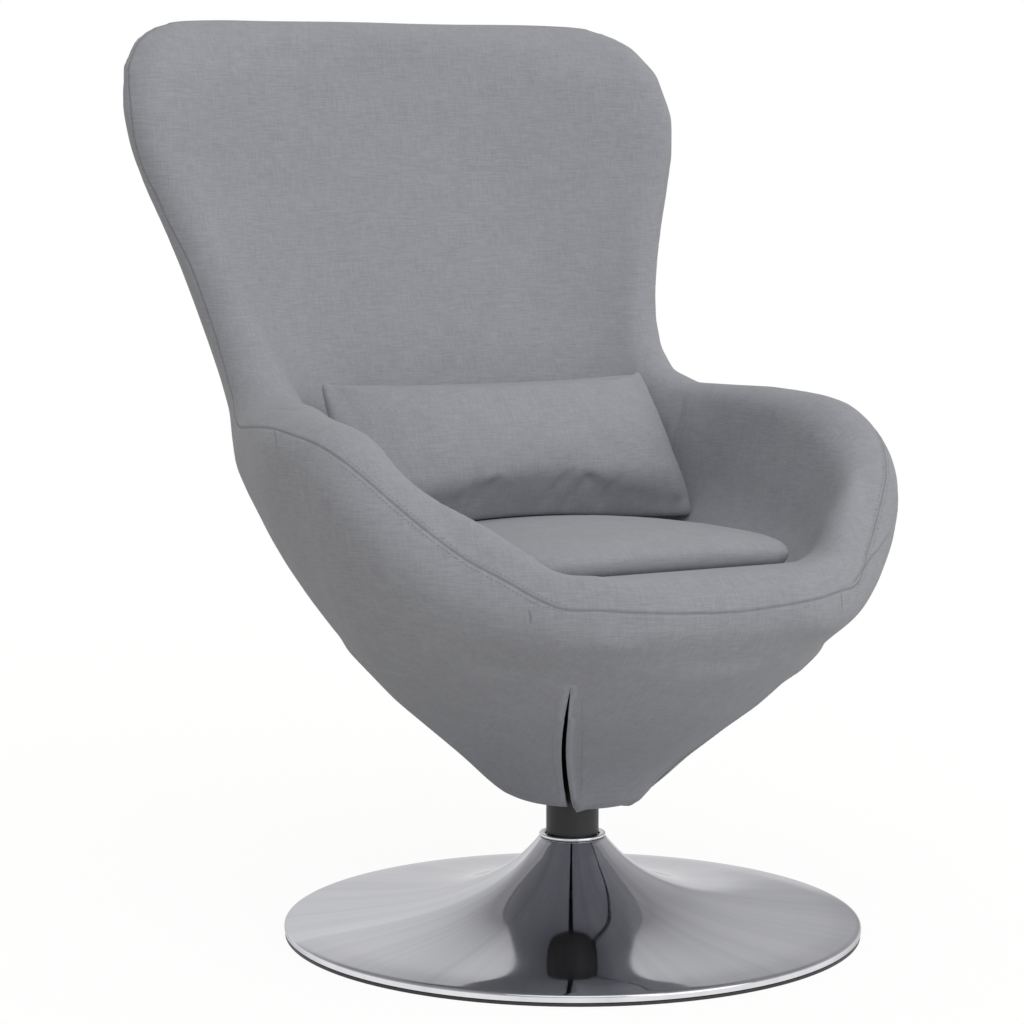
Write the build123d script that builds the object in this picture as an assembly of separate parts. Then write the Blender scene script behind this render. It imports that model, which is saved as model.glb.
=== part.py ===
from build123d import *
import os
from math import acos, atan2, cos, degrees, hypot, pi, radians, sin, sqrt, tan

# Swivel pod chair. Millimetres, +Z up, floor at Z = 0, swivel axis on Z, the sitter faces -Y.

# ---------------------------------------------------------------- base, on the floor
BASE_R = 300.0              # outside radius of the spun foot
SHEET = 1.5                 # thickness of the spun steel
RING_H = 3.0                # black floor ring under the rim
FOOT_GAP = 0.2              # between the foot's edge and the floor ring
RING_OUT_R = 299.0
RING_IN_R = 268.0
RIM_Z = 12.0                # top of the rolled rim
RIM_ROLL = 7.0              # radius that the rim is rolled to
NECK_R = 30.0               # outside radius where the trumpet meets the column
NECK_Z = 98.0
# the trumpet's outside, from its rim to just below its neck: radius, Z
TRUMPET = [(293, 12), (240, 18.4), (180, 25.8), (125, 37.8), (80, 56.9), (52, 76.5), (36, 91.2)]
BALLAST_R = 293.0
BALLAST_T = 6.0
FLANGE_R = 60.0
FLANGE_T = 6.0
FLANGE_PCD_R = 44.0
FLANGE_SCREWS = 3
FLANGE_SCREW_R = 4.0
SCREW_HEAD_R = 8.0
SCREW_HEAD_H = 4.0
SOCKET_R = 2.9              # hexagon socket in each screw's head, to its corners
SOCKET_DEPTH = 2.5
COLLAR_R = 34.5
COLLAR_H = 4.0
COLLAR_BEVEL = 1.2

# ---------------------------------------------------------------- column and swivel
TUBE_R = 25.0
TUBE_WALL = 2.0
COLUMN_TOP = 244.0
SLEEVE_R = 27.3
SLEEVE_BORE_R = 25.2
SLEEVE_TOP = 205.0
SPINDLE_R = 14.0
RUNNING_GAP = 0.05          # radial clearance of the spindle in its bushes
LOOSE_GAP = 0.4             # clearance of the washer on the spindle and under the bush
TURNED_CHAMFER = 1.5        # on the spindle's foot and the flange's upper edge
SLEEVE_CHAMFER = 0.8
BUSH_L = 30.0
BUSH_FLANGE_T = 3.0
BUSH_FLANGE_OUT = 1.5       # how far the bush's flange stands out over the tube
LOWER_BUSH_Z = 42.0
LOWER_BUSH_L = 20.0
RACE_IN_R = 14.6
RACE_OUT_R = 26.0
RACE_T = 3.0
ROLLER_R = 3.0
ROLLER_L = 7.0
ROLLER_PCD_R = 20.3
ROLLER_COUNT = 8
ROLLER_GAP = 0.15           # play of each roller in its window
CAGE_T = 2.6
CAGE_WALL = 5.2             # half of the cage's radial width
SPINDLE_FOOT_Z = 30.0
CLIP_T = 1.5
CLIP_R = 18.0
CLIP_GROOVE_R = 12.6
CLIP_PLAY = 0.1             # play of the clip in its groove, above and below
CLIP_MOUTH = 8.0            # width and depth of the clip's opening
CLIP_DEPTH = 14.0
CLIP_Z = 37.5
WASHER_T = 2.5
WASHER_R = 21.0

# ---------------------------------------------------------------- seat frame
PLATE_SIDE = 170.0
PLATE_T = 4.0
PLATE_CORNER_R = 18.0
HEAD_R = 19.0
HEAD_T = 4.0
BOLT_SPACING = 120.0
BOLT_R = 4.0
BOLT_HEAD_AF = 13.0
BOLT_HEAD_H = 5.3
BOLT_PLAY = 0.3             # clearance of the bolts in their holes
RAIL_SIDE = 25.0
RAIL_WALL = 1.5
RAIL_L = 320.0
CAP_T = 3.0
PLUG_L = 10.0
BOARD_R = 214.0
BOARD_Y = -20.0
BOARD_T = 12.0
TEE_FLANGE_SIDE = 20.0
TEE_FLANGE_T = 1.5
TEE_BARREL_R = 5.5

# ---------------------------------------------------------------- upholstered pod
# The pod is lofted through symmetric sections in planes that fan out about a line parallel to X.
FAN_Y = -200.0
FAN_Z = 760.0
FAN_STEP = 4.2              # degrees between sections
LIP_Y, LIP_Z, LIP_R = -266.0, 366.0, 38.0        # roll at the front of the seat
CREST_Y, CREST_Z, CREST_R = 432.0, 925.0, 28.0   # roll along the top of the back
# outermost line of the padded rim, one side: half width, Y, Z
RIM = [
    (46, -304, 367), (105, -296, 370), (160, -270, 373), (203, -238, 379), (247, -200, 394),
    (286, -167, 420), (311, -138, 446), (329, -93, 477), (332, -52, 500), (339, 0, 514),
    (326, 70, 526), (304, 140, 532), (285, 190, 535), (271, 238, 552), (273, 277, 592),
    (284, 303, 643), (307, 328, 720), (332, 348, 790), (342, 361, 850), (337, 374, 886),
    (322, 391, 917), (296, 406, 937), (250, 418, 947),
]
# middle line of the seat and back, on the inside and on the outside: Y, Z
INSIDE = [
    (-261, 403.7), (-238, 404), (-212, 399), (-170, 381), (-90, 357), (0, 352), (100, 356),
    (180, 371), (224, 410), (250, 470), (282, 560), (322, 660), (360, 770), (387, 860), (404, 924),
]
OUTSIDE = [
    (-291.5, 338), (-256, 297), (-190, 238), (-128, 186), (-73, 138), (-36, 110), (0, 98), (36, 110),
    (75, 141), (121, 186), (187, 248), (232, 293), (282, 350), (320, 397), (354, 460), (380, 530),
    (398, 600), (416, 700), (438, 800), (455, 880), (460, 923),
]
# shape of the sections against fan angle in degrees
ROLL_RADIUS = [
    (-106, 30), (-100, 36), (-85, 41), (-60, 42), (-40, 40), (-28, 33), (-15, 31), (17, 28),
]
INNER_LEAN = [
    (-106, 80), (-97, 72), (-90, 50), (-84, 30), (-74, 18), (-54, 12), (-46, 12), (-38, 17),
    (-30, 32), (-22, 46), (0, 66), (17, 80),
]
OUTER_LEAN = [
    (-106, 66), (-98, 37), (-92, 25), (-86, 22), (-80, 14), (-74, 9), (-66, 8), (-58, 6), (-52, 8),
    (-46, 10), (-38, 9), (-30, 6), (-18, 17), (0, 33), (10, 48), (17, 69),
]
KNEE = [
    (-106, 0.48), (-98, 0.26), (-90, 0.19), (-86, 0.28), (-82, 0.34), (-78, 0.30), (-74, 0.31),
    (-70, 0.37), (-66, 0.40), (-62, 0.46), (-58, 0.48), (-50, 0.47), (-44, 0.43), (-30, 0.50),
    (0, 0.49), (17, 0.57),
]
KEEL = [
    (-106, 14), (-103, 44), (-98, 76), (-92, 83), (-86, 53), (-80, 26), (-74, 30), (-68, 36),
    (-62, 41), (-56, 59), (-50, 80), (-45, 124), (-35, 150), (-18, 164), (0, 166), (8, 198),
    (17, 211),
]
# share of each side that a section's round corner takes up, inside the bowl and outside it
INNER_ROUNDING = [
    (-106, 0.95), (-92, 0.90), (-84, 0.60), (-46, 0.55), (-34, 0.75), (-22, 0.90), (17, 0.95),
]
OUTER_ROUNDING = 0.95
END_CAPS = (0.4, 0.75, 0.93, 0.99)      # where an end's sections lie, as shares of its roll's radius
END_SHARE = 0.3             # share of the pitch between a cap's middle and the first section after it
FULLEST_ROLL = 0.48         # largest roll radius, as a share of the depth of its section
ROLL_ROOM = (0.5, 1.0)      # least depth left between the roll and the inside, and the outside

SPLIT_Z = 300.0             # below this the cover hangs as a loose skirt
# the skirt outside and inside, drawn in to a rounded bottom round the column: Z, centre Y, radius
SKIRT_OUT = [
    (137, -1, 45), (141, -2, 60), (150, -3, 79), (163, -3, 95), (188, -4, 122), (251, -16, 195),
    (SPLIT_Z, -22, 242),
]
SKIRT_IN = [
    (144, -1, 46), (148, -2, 56), (156, -3, 73), (168, -3, 89), (193, -4, 116), (255, -16, 188),
    (SPLIT_Z, -22, 235),
]
SKIRT_MOUTH_R = 42.0        # hole that the column passes through
SLIT_TOP = (132.0, -219.0, 297.0)
SLIT_W = 4.0

# ---------------------------------------------------------------- loose cushions
# seat pad, from its nose to its back: Y, half widths at seam and underside, Z of underside, seam and crown
PAD_STATIONS = [
    (-196, 96, 84, 404, 408, 412), (-193, 122, 108, 399, 406, 416), (-184, 142, 124, 394, 404, 420),
    (-165, 156, 134, 387, 402, 423), (-135, 166, 138, 376, 397, 426), (-95, 172, 140, 366, 392, 428),
    (-45, 175, 140, 360, 388, 428), (10, 175, 134, 357, 386, 426), (60, 173, 130, 359, 386, 422),
    (105, 168, 122, 363, 388, 417), (140, 154, 106, 370, 390, 411), (160, 132, 86, 377, 391, 405),
    (170, 100, 66, 384, 391, 398),
]
PAD_SHOULDER = 0.62         # height of the side's shoulder between seam and crown
PAD_SHOULDER_IN = 0.093     # how far in the shoulder lies, as a share of the half width
PAD_LOW_SWELL = (0.133, -0.1)   # swell of the side below the seam, out and up, for each mm of height
PAD_HIGH_SWELL = (0.083, 0.067)
# lumbar pillow, from its middle to its end: X from the middle, half height, half thickness
PILLOW_STATIONS = [
    (0, 84, 50), (60, 84.5, 49), (110, 86, 44), (146, 88, 36), (172, 89.5, 25), (188, 90.5, 15),
    (196, 91, 6),
]
PILLOW_SHIFT_X = 9.0
PILLOW_FOOT = (92.5, 416.5)     # Y, Z of its lower seam
PILLOW_HEAD = (198.5, 561.0)    # Y, Z of its upper seam
PILLOW_EDGE = 2.5               # half width of the flat along its seam

def tube(outer_r, inner_r, low, high):
    """A round sleeve between two heights."""
    wall = Pos(0, 0, (low + high) / 2) * Cylinder(outer_r, high - low)
    if inner_r > 0:
        wall -= Pos(0, 0, (low + high) / 2) * Cylinder(inner_r, high - low + 2)
    return wall


def table(rows, angle):
    """Value at an angle, straight between the rows of a table."""
    for (a0, v0), (a1, v1) in zip(rows, rows[1:]):
        if angle <= a1:
            return v0 + (v1 - v0) * (angle - a0) / (a1 - a0)
    return rows[-1][1]


def write(name, shape):
    export_step(shape, f"parts/{name}.step")


# ================================================================ base
def dish_profile():
    """The spun trumpet's section in the XZ plane: outer skin, neck, inner skin and rolled rim."""
    outer = [Vector(r, 0, z) for r, z in TRUMPET] + [Vector(NECK_R, 0, NECK_Z)]
    roll_c = Vector(BASE_R - RIM_ROLL, 0, RIM_Z - RIM_ROLL)
    roll_in = RIM_ROLL - SHEET
    inner = [roll_c + Vector(0, 0, roll_in)]
    for before, here, after in zip(outer, outer[1:], outer[2:] + [outer[-1]]):
        along = (after - before).normalized()
        inner.append(here + Vector(-along.Z, 0, along.X) * SHEET)
    foot = RING_H + FOOT_GAP
    edge_r = BASE_R - SHEET
    diagonal = Vector(1, 0, 1).normalized()
    return Wire([
        Edge.make_line((BASE_R, 0, foot), (BASE_R, 0, roll_c.Z)),
        Edge.make_three_point_arc((BASE_R, 0, roll_c.Z), roll_c + diagonal * RIM_ROLL, outer[0]),
        Edge.make_spline(outer),
        Edge.make_line(outer[-1], inner[-1]),
        Edge.make_spline(inner),
        Edge.make_three_point_arc(inner[0], roll_c + diagonal * roll_in, (edge_r, 0, roll_c.Z)),
        Edge.make_line((edge_r, 0, roll_c.Z), (edge_r, 0, foot)),
        Edge.make_line((edge_r, 0, foot), (BASE_R, 0, foot)),
    ])


def base_dish():
    return revolve(Face(dish_profile()), Axis.Z)


def flange_places():
    return PolarLocations(FLANGE_PCD_R, FLANGE_SCREWS, start_angle=90)


def ballast_disc():
    low = RING_H
    disc = tube(BALLAST_R, 0, low, low + BALLAST_T)
    for place in flange_places():
        disc -= place * Pos(0, 0, low + BALLAST_T / 2) * Cylinder(FLANGE_SCREW_R, BALLAST_T + 2)
        disc -= place * Pos(0, 0, low + SCREW_HEAD_H / 2) * Cone(SCREW_HEAD_R, FLANGE_SCREW_R, SCREW_HEAD_H)
    return disc


def foot_flange():
    low = RING_H + BALLAST_T
    flange = tube(FLANGE_R, TUBE_R, low, low + FLANGE_T)
    flange = chamfer(flange.edges().group_by(Axis.Z)[-1].sort_by(SortBy.LENGTH)[-1], TURNED_CHAMFER)
    for place in flange_places():
        flange -= place * Pos(0, 0, low + FLANGE_T / 2) * Cylinder(FLANGE_SCREW_R, FLANGE_T + 2)
    return flange


def flange_screws():
    """Countersunk screws, driven up from below into the flange's threads."""
    low = RING_H
    shank_h = BALLAST_T + FLANGE_T
    screws = []
    for place in flange_places():
        screw = Pos(0, 0, low + SCREW_HEAD_H / 2) * Cone(SCREW_HEAD_R, FLANGE_SCREW_R, SCREW_HEAD_H)
        screw += Pos(0, 0, low + shank_h / 2) * Cylinder(FLANGE_SCREW_R, shank_h)
        socket = extrude(Pos(0, 0, low) * RegularPolygon(SOCKET_R, 6), SOCKET_DEPTH)
        screws.append(place * (screw - socket))
    return Compound(screws)


def column_tube():
    low = RING_H + BALLAST_T
    return tube(TUBE_R, TUBE_R - TUBE_WALL, low, COLUMN_TOP)


def column_sleeve():
    low = NECK_Z + COLLAR_H
    sleeve = tube(SLEEVE_R, SLEEVE_BORE_R, low, SLEEVE_TOP)
    return chamfer(sleeve.edges().group_by(Axis.Z)[-1].sort_by(SortBy.LENGTH)[-1], SLEEVE_CHAMFER)


def collar_ring():
    """Bright ring that covers the trumpet's neck."""
    ring = tube(COLLAR_R, SLEEVE_BORE_R, NECK_Z, NECK_Z + COLLAR_H)
    return chamfer(ring.edges().sort_by(SortBy.LENGTH)[-2:], COLLAR_BEVEL)


def bush(low, high, flange_low=None):
    body = tube(TUBE_R - TUBE_WALL, SPINDLE_R + RUNNING_GAP, low, high)
    if flange_low is not None:
        flange_r = TUBE_R + BUSH_FLANGE_OUT
        body += tube(flange_r, SPINDLE_R + RUNNING_GAP, flange_low, flange_low + BUSH_FLANGE_T)
    return body


# ================================================================ swivel bearing
LOWER_RACE_Z = COLUMN_TOP + BUSH_FLANGE_T
ROLLER_Z = LOWER_RACE_Z + RACE_T + ROLLER_R
UPPER_RACE_Z = ROLLER_Z + ROLLER_R
PLATE_Z = UPPER_RACE_Z + RACE_T
RAIL_Z = PLATE_Z + PLATE_T
BOARD_Z = SPLIT_Z - BOARD_T
RAIL_H = BOARD_Z - RAIL_Z           # the rails fill the height between plate and board


def race(low):
    """Hardened flat washer that the rollers run on."""
    return tube(RACE_OUT_R, RACE_IN_R, low, low + RACE_T)


def roller_places():
    return PolarLocations(ROLLER_PCD_R, ROLLER_COUNT)


def roller_cage():
    """Flat nylon ring with a window for each roller."""
    low = ROLLER_Z - CAGE_T / 2
    cage = tube(ROLLER_PCD_R + CAGE_WALL, ROLLER_PCD_R - CAGE_WALL, low, low + CAGE_T)
    window = Box(ROLLER_L + 2 * ROLLER_GAP, 2 * (ROLLER_R + ROLLER_GAP), CAGE_T + 2)
    for place in roller_places():
        cage -= place * Pos(0, 0, ROLLER_Z) * window
    return cage


def thrust_rollers():
    """Cylinders that lie along the radii between the races."""
    roller = Pos(0, 0, ROLLER_Z) * Rot(0, 90, 0) * Cylinder(ROLLER_R, ROLLER_L)
    return Compound([place * roller for place in roller_places()])


# ================================================================ seat frame
def bolt_places():
    return GridLocations(BOLT_SPACING, BOLT_SPACING, 2, 2)


def spindle():
    """Turned pin through both bushes, with a head on the plate and a groove for the clip."""
    pin = tube(SPINDLE_R, 0, SPINDLE_FOOT_Z, RAIL_Z)
    pin += tube(HEAD_R, 0, RAIL_Z, RAIL_Z + HEAD_T)
    pin -= tube(SPINDLE_R + 1, CLIP_GROOVE_R, CLIP_Z - CLIP_PLAY, CLIP_Z + CLIP_T + CLIP_PLAY)
    return chamfer(pin.edges().group_by(Axis.Z)[0], TURNED_CHAMFER)


def retaining_clip():
    """Open spring ring in the spindle's groove."""
    clip = tube(CLIP_R, CLIP_GROOVE_R, CLIP_Z, CLIP_Z + CLIP_T)
    return clip - Pos(0, -CLIP_R, CLIP_Z + CLIP_T / 2) * Box(CLIP_MOUTH, 2 * CLIP_DEPTH, CLIP_T + 2)


def spindle_washer():
    low = LOWER_BUSH_Z - WASHER_T - LOOSE_GAP
    return tube(WASHER_R, SPINDLE_R + LOOSE_GAP, low, low + WASHER_T)


def swivel_plate():
    plate = extrude(Pos(0, 0, PLATE_Z) * RectangleRounded(PLATE_SIDE, PLATE_SIDE, PLATE_CORNER_R), PLATE_T)
    plate -= tube(SPINDLE_R, 0, PLATE_Z - 1, RAIL_Z + 1)
    for place in bolt_places():
        plate -= place * Pos(0, 0, PLATE_Z + PLATE_T / 2) * Cylinder(BOLT_R + BOLT_PLAY, PLATE_T + 2)
    return plate


def rail_bore():
    return Rectangle(RAIL_SIDE - 2 * RAIL_WALL, RAIL_H - 2 * RAIL_WALL)


def frame_rails():
    """Two square steel tubes from front to back, over the plate's bolts."""
    rails = []
    mid_z = RAIL_Z + RAIL_H / 2
    section = Rectangle(RAIL_SIDE, RAIL_H) - rail_bore()
    for x in (-BOLT_SPACING / 2, BOLT_SPACING / 2):
        end = Plane(origin=(x, -RAIL_L / 2, mid_z), x_dir=(1, 0, 0), z_dir=(0, 1, 0))
        rail = extrude(end * section, RAIL_L)
        for y in (-BOLT_SPACING / 2, BOLT_SPACING / 2):
            rail -= Pos(x, y, mid_z) * Cylinder(BOLT_R + BOLT_PLAY, RAIL_H + 2)
        rails.append(rail)
    return Compound(rails)


def rail_caps():
    """Plastic plugs that close the ends of the rails."""
    caps = []
    mid_z = RAIL_Z + RAIL_H / 2
    for x in (-BOLT_SPACING / 2, BOLT_SPACING / 2):
        for way in (-1, 1):
            end = Plane(origin=(x, way * RAIL_L / 2, mid_z), x_dir=(1, 0, 0), z_dir=(0, way, 0))
            cap = extrude(end * Rectangle(RAIL_SIDE, RAIL_H), CAP_T)
            caps.append(cap + extrude(end * rail_bore(), -PLUG_L))
    return Compound(caps)


def plate_bolts():
    """Hexagon bolts up through the plate, the rails and the board."""
    bolts = []
    top = SPLIT_Z - TEE_FLANGE_T
    hexagon = Pos(0, 0, PLATE_Z - BOLT_HEAD_H) * RegularPolygon(BOLT_HEAD_AF / sqrt(3), 6)
    for place in bolt_places():
        head = extrude(hexagon, BOLT_HEAD_H)
        shank = Pos(0, 0, (PLATE_Z + top) / 2) * Cylinder(BOLT_R, top - PLATE_Z)
        bolts.append(place * (head + shank))
    return Compound(bolts)


def tee_flange():
    return Pos(0, 0, SPLIT_Z - TEE_FLANGE_T / 2) * Box(TEE_FLANGE_SIDE, TEE_FLANGE_SIDE, TEE_FLANGE_T)


def tee_nuts():
    """Flanged threaded sleeves pressed into the top of the board."""
    nuts = []
    for place in bolt_places():
        nut = tube(TEE_BARREL_R, 0, BOARD_Z + 1, SPLIT_Z - TEE_FLANGE_T) + tee_flange()
        nuts.append(place * (nut - tube(BOLT_R, 0, BOARD_Z, SPLIT_Z + 1)))
    return Compound(nuts)


def seat_board():
    """Plywood disc that the foam is glued to and the skirt is stapled round."""
    board = Pos(0, BOARD_Y, 0) * tube(BOARD_R, 0, BOARD_Z, SPLIT_Z)
    for place in bolt_places():
        board -= place * tube(TEE_BARREL_R, 0, BOARD_Z - 1, SPLIT_Z + 1)
        board -= place * tee_flange()
    return board


# ================================================================ upholstered pod
def angle_of(point):
    """Fan angle of a point whose last two coordinates are Y and Z."""
    return degrees(atan2(point[-1] - FAN_Z, point[-2] - FAN_Y))


class FanCurve:
    """A smooth curve through a few points, looked up by fan angle, which rises along it."""

    def __init__(self, points):
        self.edge = Edge.make_spline([Vector(*p) for p in points])
        self.first = angle_of(points[0])
        self.last = angle_of(points[-1])

    def at(self, angle):
        low, high = 0.0, 1.0
        for _ in range(30):
            mid = (low + high) / 2
            if angle_of(tuple(self.edge.position_at(mid))) < angle:
                low = mid
            else:
                high = mid
        return self.edge.position_at((low + high) / 2)

    def reach(self, angle):
        p = self.at(angle)
        return hypot(p.Y - FAN_Y, p.Z - FAN_Z)


def roll_crossing(centre_y, centre_z, radius, angle, side):
    """Distance from the fan line to where a ray enters (-1) or leaves (+1) a roll."""
    reach = hypot(centre_y - FAN_Y, centre_z - FAN_Z)
    off = radians(angle - angle_of((centre_y, centre_z)))
    half = sqrt(max(radius ** 2 - (reach * sin(off)) ** 2, 0))
    return reach * cos(off) + side * half


def middle_reach(curve, side, angle):
    """Distance from the fan line to the pod's middle line, inside (-1) or outside (+1)."""
    if angle < curve.first:
        return roll_crossing(LIP_Y, LIP_Z, LIP_R, angle, side)
    if angle > curve.last:
        return roll_crossing(CREST_Y, CREST_Z, CREST_R, angle, side)
    return curve.reach(angle)


def rounded(points, share):
    """Corner points to a chain of lines and tangent arcs: ("line", a, b) and ("arc", a, middle, b)."""
    chain = []
    start = points[0]
    last = len(points) - 2
    for i in range(1, len(points) - 1):
        before, here, after = points[i - 1], points[i], points[i + 1]
        room_before = (here - before).length / (1 if i == 1 else 2)
        room_after = (after - here).length / (1 if i == last else 2)
        room = min(room_before, room_after)
        setback = share * room
        back = (before - here).normalized()
        ahead = (after - here).normalized()
        half_turn = (pi - acos(max(-1.0, min(1.0, back.dot(ahead))))) / 2
        radius = setback / tan(half_turn)
        inward = (back + ahead).normalized()
        middle = here + inward * (radius / cos(half_turn) - radius)
        chain.append(("line", start, here + back * setback))
        chain.append(("arc", here + back * setback, middle, here + ahead * setback))
        start = here + ahead * setback
    chain.append(("line", start, points[-1]))
    return chain


def half_section(angle, rim, inside, outside):
    """Right half of one section, from its middle inside, over the padded rim, to its middle outside.

    X runs across the pod, and Y away from the fan line.
    """
    in_reach = middle_reach(inside, -1, angle)
    out_reach = middle_reach(outside, 1, angle)
    radius = min(table(ROLL_RADIUS, angle), FULLEST_ROLL * (out_reach - in_reach))
    lean_in = radians(table(INNER_LEAN, angle))
    lean_out = radians(table(OUTER_LEAN, angle))
    rim_angle = max(rim.first, min(rim.last, angle))
    room_in, room_out = ROLL_ROOM
    deepest = min(in_reach + radius * sin(lean_in) - room_in, out_reach - radius * sin(lean_out) - room_out)
    centre = Vector(rim.at(rim_angle).X - radius, min(rim.reach(rim_angle), deepest))
    roll_in = centre + Vector(-cos(lean_in), -sin(lean_in)) * radius
    roll_out = centre + Vector(cos(lean_out), sin(lean_out)) * radius
    quarter = (pi - lean_in + lean_out) / 4
    turns = [pi + lean_in + quarter * i for i in (1, 2, 3)]
    over = [centre + Vector(cos(turn), sin(turn)) * radius for turn in turns]
    foot_in = roll_in + Vector(-sin(lean_in), cos(lean_in)) * ((in_reach - roll_in.Y) / cos(lean_in))
    knee_run = table(KNEE, angle) * (out_reach - roll_out.Y) / cos(lean_out)
    knee = roll_out + Vector(-sin(lean_out), cos(lean_out)) * knee_run
    inner_wall = rounded([Vector(0, in_reach), foot_in, roll_in], table(INNER_ROUNDING, angle))
    belly = Vector(table(KEEL, angle), out_reach)
    outer_wall = rounded([roll_out, knee, belly, Vector(0, out_reach)], OUTER_ROUNDING)
    roll = [("arc", roll_in, over[0], over[1]), ("arc", over[1], over[2], roll_out)]
    return inner_wall + roll + outer_wall


def mirrored(point):
    return Vector(-point.X, point.Y)


def section_wire(angle, rim, inside, outside):
    """The whole closed section, placed in its fan plane."""
    half = half_section(angle, rim, inside, outside)
    other = [(piece[0], *[mirrored(p) for p in reversed(piece[1:])]) for piece in reversed(half)]
    first, last = half[0], half[-1]
    loop = [("line", mirrored(first[2]), first[2])] + half[1:-1]
    loop += [("line", last[1], mirrored(last[1]))] + other[1:-1]
    across = (0, -sin(radians(angle)), cos(radians(angle)))
    plane = Plane(origin=(0, FAN_Y, FAN_Z), x_dir=(1, 0, 0), z_dir=across)
    edges = []
    for piece in loop:
        points = [plane.from_local_coords(p) for p in piece[1:]]
        if piece[0] == "line":
            edges.append(Edge.make_line(*points))
        else:
            edges.append(Edge.make_three_point_arc(*points))
    return Wire(edges)


def fan_angles():
    """Angles of the sections: close together in the two end caps, evenly spaced between."""
    lip_mid = angle_of((LIP_Y, LIP_Z))
    lip_half = degrees(atan2(LIP_R, hypot(LIP_Y - FAN_Y, LIP_Z - FAN_Z)))
    crest_mid = angle_of((CREST_Y, CREST_Z))
    crest_half = degrees(atan2(CREST_R, hypot(CREST_Y - FAN_Y, CREST_Z - FAN_Z)))
    count = round((crest_mid - lip_mid) / FAN_STEP)
    front = [lip_mid - lip_half * share for share in reversed(END_CAPS)]
    pitch = (crest_mid - lip_mid) / (count - 1 + 2 * END_SHARE)
    body = [lip_mid + pitch * (i + END_SHARE) for i in range(count)]
    top = [crest_mid + crest_half * share for share in END_CAPS]
    return front + body + top


def pod_body():
    rim = FanCurve(RIM)
    inside = FanCurve([(0, y, z) for y, z in INSIDE])
    outside = FanCurve([(0, y, z) for y, z in OUTSIDE])
    return Solid.make_loft([section_wire(a, rim, inside, outside) for a in fan_angles()], ruled=True)


def ring_stack(rings):
    """Stack of leaning cones through a list of rings."""
    return Solid.make_loft([Wire.make_circle(r, Plane((0, y, z))) for z, y, r in rings], ruled=True)


def slit(side):
    """One of the two front openings of the skirt, from its top down through the bottom."""
    bearing = degrees(atan2(SLIT_TOP[0], -SLIT_TOP[1]))
    low = SKIRT_OUT[0][0] - 1
    high = SLIT_TOP[2]
    reach = SKIRT_OUT[-1][2]
    blade = Pos(0, -reach, (low + high) / 2) * Box(SLIT_W, 2 * reach, high - low)
    return Rot(0, 0, side * bearing) * blade


def foam_shell():
    """The foam-filled pod above the height where the cover hangs free."""
    size = 2000
    return pod_body() - Pos(0, 0, SPLIT_Z - size / 2) * Box(size, size, size)


def cover_skirt():
    """The loose lower part of the cover, a bag with a hole for the column and two slits in front."""
    mouth = tube(SKIRT_MOUTH_R, 0, SKIRT_OUT[0][0] - 1, SKIRT_IN[0][0] + 1)
    return ring_stack(SKIRT_OUT) - ring_stack(SKIRT_IN) - mouth - slit(1) - slit(-1)


# ================================================================ loose cushions
def pad_section(y, half_w, foot_half_w, low, seam, crown):
    """Flat underside, a side that swells to the seam, and an arched top."""
    shoulder_z = seam + (crown - seam) * PAD_SHOULDER
    foot = Vector(foot_half_w, y, low)
    side = Vector(half_w, y, seam)
    shoulder = Vector(half_w * (1 - PAD_SHOULDER_IN), y, shoulder_z)
    low_out, low_up = PAD_LOW_SWELL
    high_out, high_up = PAD_HIGH_SWELL
    low_swell = (foot + side) / 2 + Vector(low_out, 0, low_up) * (seam - low)
    high_swell = (side + shoulder) / 2 + Vector(high_out, 0, high_up) * (crown - seam)

    def over(p):
        return Vector(-p.X, p.Y, p.Z)

    return Wire([
        Edge.make_line(over(foot), foot),
        Edge.make_three_point_arc(foot, low_swell, side),
        Edge.make_three_point_arc(side, high_swell, shoulder),
        Edge.make_three_point_arc(shoulder, Vector(0, y, crown), over(shoulder)),
        Edge.make_three_point_arc(over(shoulder), over(high_swell), over(side)),
        Edge.make_three_point_arc(over(side), over(low_swell), over(foot)),
    ])


def seat_pad():
    return Solid.make_loft([pad_section(*s) for s in PAD_STATIONS], ruled=True)


def pillow_section(x, half_h, half_t):
    """Lens of two arcs with a narrow flat at each seam, square to X."""
    foot = Vector(0, *PILLOW_FOOT)
    head = Vector(0, *PILLOW_HEAD)
    up = (head - foot).normalized()
    out = Vector(0, -up.Z, up.Y)
    middle = (foot + head) / 2 + Vector(x + PILLOW_SHIFT_X, 0, 0)
    front_low = middle - up * half_h + out * PILLOW_EDGE
    front_high = middle + up * half_h + out * PILLOW_EDGE
    back_low = middle - up * half_h - out * PILLOW_EDGE
    back_high = middle + up * half_h - out * PILLOW_EDGE
    return Wire([
        Edge.make_three_point_arc(front_low, middle + out * half_t, front_high),
        Edge.make_line(front_high, back_high),
        Edge.make_three_point_arc(back_high, middle - out * half_t, back_low),
        Edge.make_line(back_low, front_low),
    ])


def lumbar_pillow():
    right = PILLOW_STATIONS
    left = [(-x, h, t) for x, h, t in reversed(right[1:])]
    return Solid.make_loft([pillow_section(*s) for s in left + right], ruled=True)


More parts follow.
